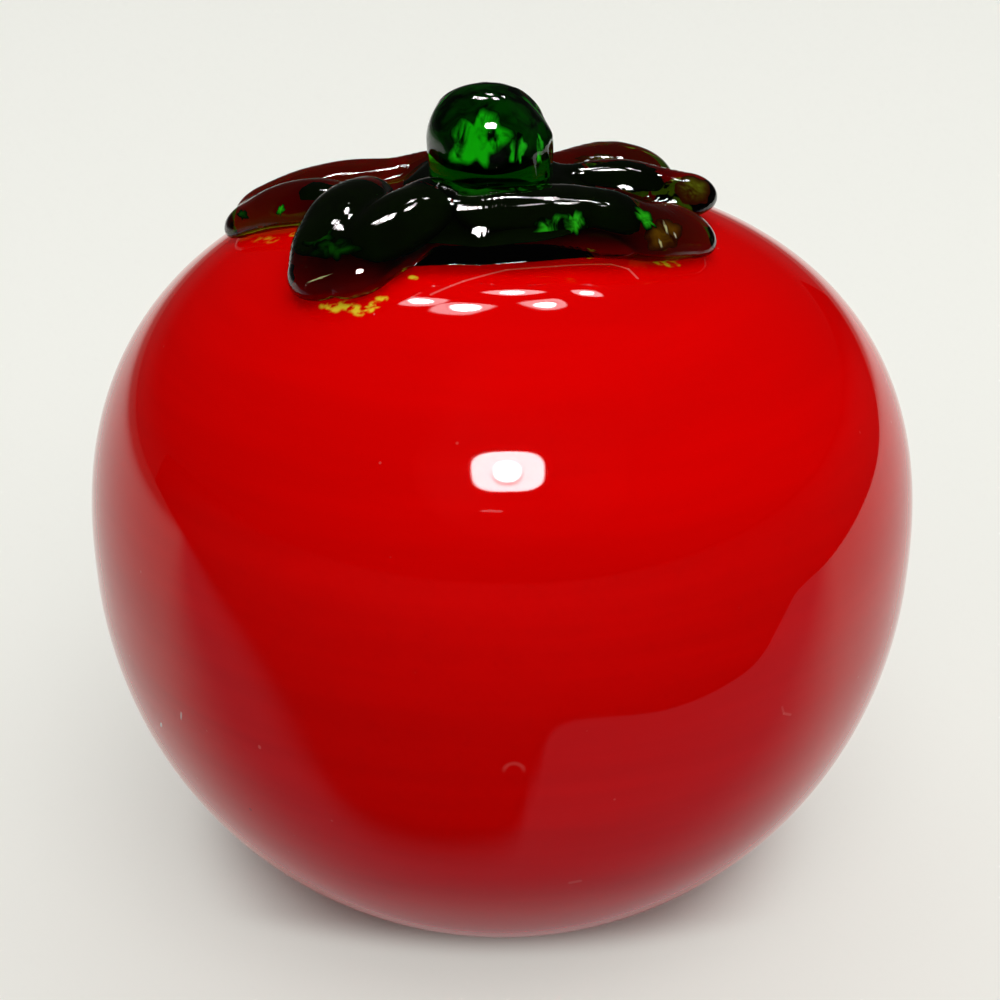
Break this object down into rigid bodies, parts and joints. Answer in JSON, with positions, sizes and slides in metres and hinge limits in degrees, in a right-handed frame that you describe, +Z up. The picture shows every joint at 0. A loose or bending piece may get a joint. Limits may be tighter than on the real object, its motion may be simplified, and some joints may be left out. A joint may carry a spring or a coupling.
{
  "type": "glass tomato paperweight",
  "caption": "Solid glass paperweight in the shape of a tomato: clear-cased red body on a ground flat base, with a dark green glass calyx of thick leaves and a domed green stem.",
  "frame": {"origin": "centre of the ground base, on the table", "axes": "+Z up through the stem, -Y towards the side seen in the picture, +X to the right of that side"},
  "size_m": [0.08, 0.08, 0.0791],
  "materials": {
    "core_glass": "opal, hidden inside the body",
    "red_glass": "opaque red, seen through the casing",
    "clear_glass": "clear, fire-polished, ground flat underneath",
    "leaf_glass": "dark green, see-through where thin, fire-polished",
    "stem_glass": "green, see-through, fire-polished"
  },
  "bodies": {
    "root": {"glass_core": "core_glass", "colour_layer": "red_glass", "clear_casing": "clear_glass", "calyx_collar": "leaf_glass", "leaf_front_left": "leaf_glass", "leaf_front_right": "leaf_glass", "leaf_left": "leaf_glass", "leaf_right": "leaf_glass", "leaf_back_right": "leaf_glass", "stem": "stem_glass"}
  },
  "joints": []
}
